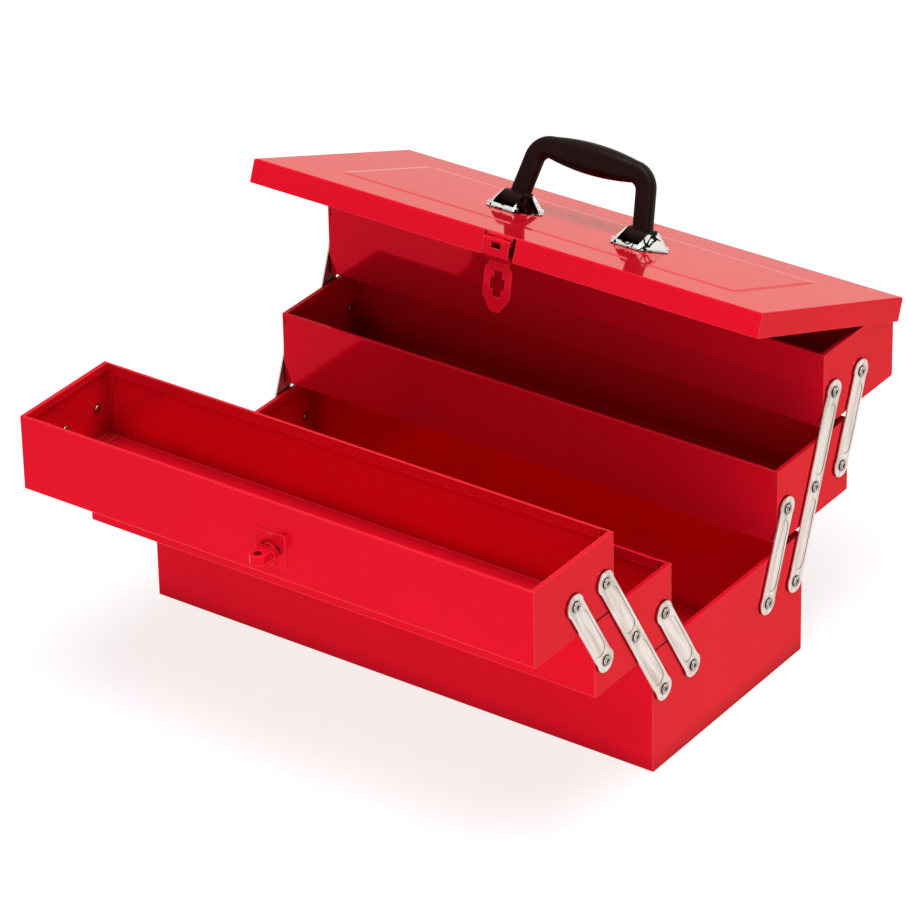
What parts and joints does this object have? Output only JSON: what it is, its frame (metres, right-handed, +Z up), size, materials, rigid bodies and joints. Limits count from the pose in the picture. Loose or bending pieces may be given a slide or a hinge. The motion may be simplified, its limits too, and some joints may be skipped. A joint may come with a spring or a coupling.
{
  "type": "cantilever tool box",
  "caption": "Portable steel tool box whose trays swing out to both sides on link arms, with a hinged lid, folding carry handle, hasp and turn catch.",
  "frame": {"origin": "middle of the underside of the base, on the surface that it stands on", "axes": "+Z up; the front, with the hasp and turn catch, faces -Y; +X is to the right as seen from the front; the trays swing out along -Y and +Y"},
  "size_m": [0.465, 0.5159, 0.3396],
  "materials": {
    "red_paint": "gloss bright red enamel on sheet steel",
    "link_steel": "satin plated steel",
    "chrome_plate": "polished chrome plate",
    "zinc_plate": "bright zinc-plated steel",
    "handle_plastic": "semi-gloss, black-brown"
  },
  "bodies": {
    "base": {"base_wrap": "red_paint", "base_end_left": "red_paint", "base_end_right": "red_paint", "base_rivets": "zinc_plate", "base_washers": "zinc_plate"},
    "front_lower_tray": {"front_lower_tray_wrap": "red_paint", "front_lower_tray_end_left": "red_paint", "front_lower_tray_end_right": "red_paint", "front_lower_tray_rivets": "zinc_plate", "front_lower_tray_washers": "zinc_plate"},
    "front_upper_tray": {"front_upper_tray_wrap": "red_paint", "front_upper_tray_end_left": "red_paint", "front_upper_tray_end_right": "red_paint", "front_upper_tray_rivets": "zinc_plate", "front_upper_tray_washers": "zinc_plate", "turn_catch_plate": "red_paint", "turn_catch_rivets": "zinc_plate"},
    "front_long_link_left": {"front_long_link_left": "link_steel"},
    "front_long_link_right": {"front_long_link_right": "link_steel"},
    "front_lower_short_link_left": {"front_lower_short_link_left": "link_steel"},
    "front_lower_short_link_right": {"front_lower_short_link_right": "link_steel"},
    "front_upper_short_link_left": {"front_upper_short_link_left": "link_steel"},
    "front_upper_short_link_right": {"front_upper_short_link_right": "link_steel"},
    "rear_lower_tray": {"rear_lower_tray_wrap": "red_paint", "rear_lower_tray_end_left": "red_paint", "rear_lower_tray_end_right": "red_paint", "rear_lower_tray_rivets": "zinc_plate", "rear_lower_tray_washers": "zinc_plate"},
    "rear_upper_tray": {"rear_upper_tray_wrap": "red_paint", "rear_upper_tray_end_left": "red_paint", "rear_upper_tray_end_right": "red_paint", "rear_upper_tray_rivets": "zinc_plate", "rear_upper_tray_washers": "zinc_plate", "lid_hinge_tray_leaf": "red_paint", "lid_hinge_pins": "red_paint"},
    "rear_long_link_left": {"rear_long_link_left": "link_steel"},
    "rear_long_link_right": {"rear_long_link_right": "link_steel"},
    "rear_lower_short_link_left": {"rear_lower_short_link_left": "link_steel"},
    "rear_lower_short_link_right": {"rear_lower_short_link_right": "link_steel"},
    "rear_upper_short_link_left": {"rear_upper_short_link_left": "link_steel"},
    "rear_upper_short_link_right": {"rear_upper_short_link_right": "link_steel"},
    "lid": {"lid_shell": "red_paint", "lid_hinge_lid_leaf": "red_paint", "hasp_leaf": "red_paint", "hasp_pin": "red_paint", "handle_mount_left": "chrome_plate", "handle_mount_right": "chrome_plate", "handle_pins": "zinc_plate", "handle_mount_rivets": "zinc_plate"},
    "handle": {"handle": "handle_plastic"},
    "hasp": {"hasp_strap": "red_paint"},
    "turn_catch": {"turn_catch_head": "red_paint"}
  },
  "joints": [
    {"name": "front_fold", "type": "hinge", "parent": "base", "child": "front_long_link_right", "pos_m": [0.2294, -0.09025, 0.0672], "axis": [-1, 0, 0], "range_deg": [0, 60.89]},
    {"name": "front_lower_tray_level", "type": "hinge", "parent": "front_long_link_right", "child": "front_lower_tray", "pos_m": [0.2294, -0.12775, 0.131], "axis": [-1, 0, 0], "range_deg": [-60.89, 0]},
    {"name": "front_upper_tray_level", "type": "hinge", "parent": "front_long_link_right", "child": "front_upper_tray", "pos_m": [0.2294, -0.16525, 0.1948], "axis": [-1, 0, 0], "range_deg": [-60.89, 0]},
    {"name": "front_long_link_left_swing", "type": "hinge", "parent": "base", "child": "front_long_link_left", "pos_m": [-0.2294, -0.09025, 0.0672], "axis": [-1, 0, 0], "range_deg": [0, 60.89]},
    {"name": "front_lower_short_link_left_swing", "type": "hinge", "parent": "base", "child": "front_lower_short_link_left", "pos_m": [-0.2294, -0.05175, 0.0672], "axis": [-1, 0, 0], "range_deg": [0, 60.89]},
    {"name": "front_upper_short_link_left_swing", "type": "hinge", "parent": "front_lower_tray", "child": "front_upper_short_link_left", "pos_m": [-0.2294, -0.16625, 0.131], "axis": [-1, 0, 0], "range_deg": [0, 60.89]},
    {"name": "front_lower_short_link_right_swing", "type": "hinge", "parent": "base", "child": "front_lower_short_link_right", "pos_m": [0.2294, -0.05175, 0.0672], "axis": [-1, 0, 0], "range_deg": [0, 60.89]},
    {"name": "front_upper_short_link_right_swing", "type": "hinge", "parent": "front_lower_tray", "child": "front_upper_short_link_right", "pos_m": [0.2294, -0.16625, 0.131], "axis": [-1, 0, 0], "range_deg": [0, 60.89]},
    {"name": "rear_fold", "type": "hinge", "parent": "base", "child": "rear_long_link_right", "pos_m": [0.2294, 0.09025, 0.0672], "axis": [1, 0, 0], "range_deg": [-9.7, 51.2]},
    {"name": "rear_lower_tray_level", "type": "hinge", "parent": "rear_long_link_right", "child": "rear_lower_tray", "pos_m": [0.2294, 0.11647, 0.1364], "axis": [1, 0, 0], "range_deg": [-51.2, 9.7]},
    {"name": "rear_upper_tray_level", "type": "hinge", "parent": "rear_long_link_right", "child": "rear_upper_tray", "pos_m": [0.2294, 0.14269, 0.20561], "axis": [1, 0, 0], "range_deg": [-51.2, 9.7]},
    {"name": "rear_long_link_left_swing", "type": "hinge", "parent": "base", "child": "rear_long_link_left", "pos_m": [-0.2294, 0.09025, 0.0672], "axis": [1, 0, 0], "range_deg": [-9.7, 51.2]},
    {"name": "rear_lower_short_link_left_swing", "type": "hinge", "parent": "base", "child": "rear_lower_short_link_left", "pos_m": [-0.2294, 0.05175, 0.0672], "axis": [1, 0, 0], "range_deg": [-9.7, 51.2]},
    {"name": "rear_upper_short_link_left_swing", "type": "hinge", "parent": "rear_lower_tray", "child": "rear_upper_short_link_left", "pos_m": [-0.2294, 0.15497, 0.1364], "axis": [1, 0, 0], "range_deg": [-9.7, 51.2]},
    {"name": "rear_lower_short_link_right_swing", "type": "hinge", "parent": "base", "child": "rear_lower_short_link_right", "pos_m": [0.2294, 0.05175, 0.0672], "axis": [1, 0, 0], "range_deg": [-9.7, 51.2]},
    {"name": "rear_upper_short_link_right_swing", "type": "hinge", "parent": "rear_lower_tray", "child": "rear_upper_short_link_right", "pos_m": [0.2294, 0.15497, 0.1364], "axis": [1, 0, 0], "range_deg": [-9.7, 51.2]},
    {"name": "lid_hinge", "type": "hinge", "parent": "rear_upper_tray", "child": "lid", "pos_m": [0, 0.23219, 0.22201], "axis": [1, 0, 0], "range_deg": [-85, 20.92]},
    {"name": "hasp_swing", "type": "hinge", "parent": "lid", "child": "hasp", "pos_m": [0, 0.03656, 0.31349], "axis": [-1, 0, 0], "range_deg": [-5, 115]},
    {"name": "turn_catch_turn", "type": "hinge", "parent": "front_upper_tray", "child": "turn_catch", "pos_m": [0, -0.25275, 0.1918], "axis": [0, -1, 0], "range_deg": [0, 90]},
    {"name": "handle_fold", "type": "hinge", "parent": "lid", "child": "handle", "pos_m": [0, 0.14015, 0.28845], "axis": [1, 0, 0], "range_deg": [0, 98]}
  ],
  "couplings": [
    {"joint": "front_lower_tray_level", "follows": "front_fold", "ratio": -1},
    {"joint": "front_upper_tray_level", "follows": "front_fold", "ratio": -1},
    {"joint": "front_long_link_left_swing", "follows": "front_fold", "ratio": 1},
    {"joint": "front_lower_short_link_left_swing", "follows": "front_fold", "ratio": 1},
    {"joint": "front_upper_short_link_left_swing", "follows": "front_fold", "ratio": 1},
    {"joint": "front_lower_short_link_right_swing", "follows": "front_fold", "ratio": 1},
    {"joint": "front_upper_short_link_right_swing", "follows": "front_fold", "ratio": 1},
    {"joint": "rear_lower_tray_level", "follows": "rear_fold", "ratio": -1},
    {"joint": "rear_upper_tray_level", "follows": "rear_fold", "ratio": -1},
    {"joint": "rear_long_link_left_swing", "follows": "rear_fold", "ratio": 1},
    {"joint": "rear_lower_short_link_left_swing", "follows": "rear_fold", "ratio": 1},
    {"joint": "rear_upper_short_link_left_swing", "follows": "rear_fold", "ratio": 1},
    {"joint": "rear_lower_short_link_right_swing", "follows": "rear_fold", "ratio": 1},
    {"joint": "rear_upper_short_link_right_swing", "follows": "rear_fold", "ratio": 1}
  ]
}
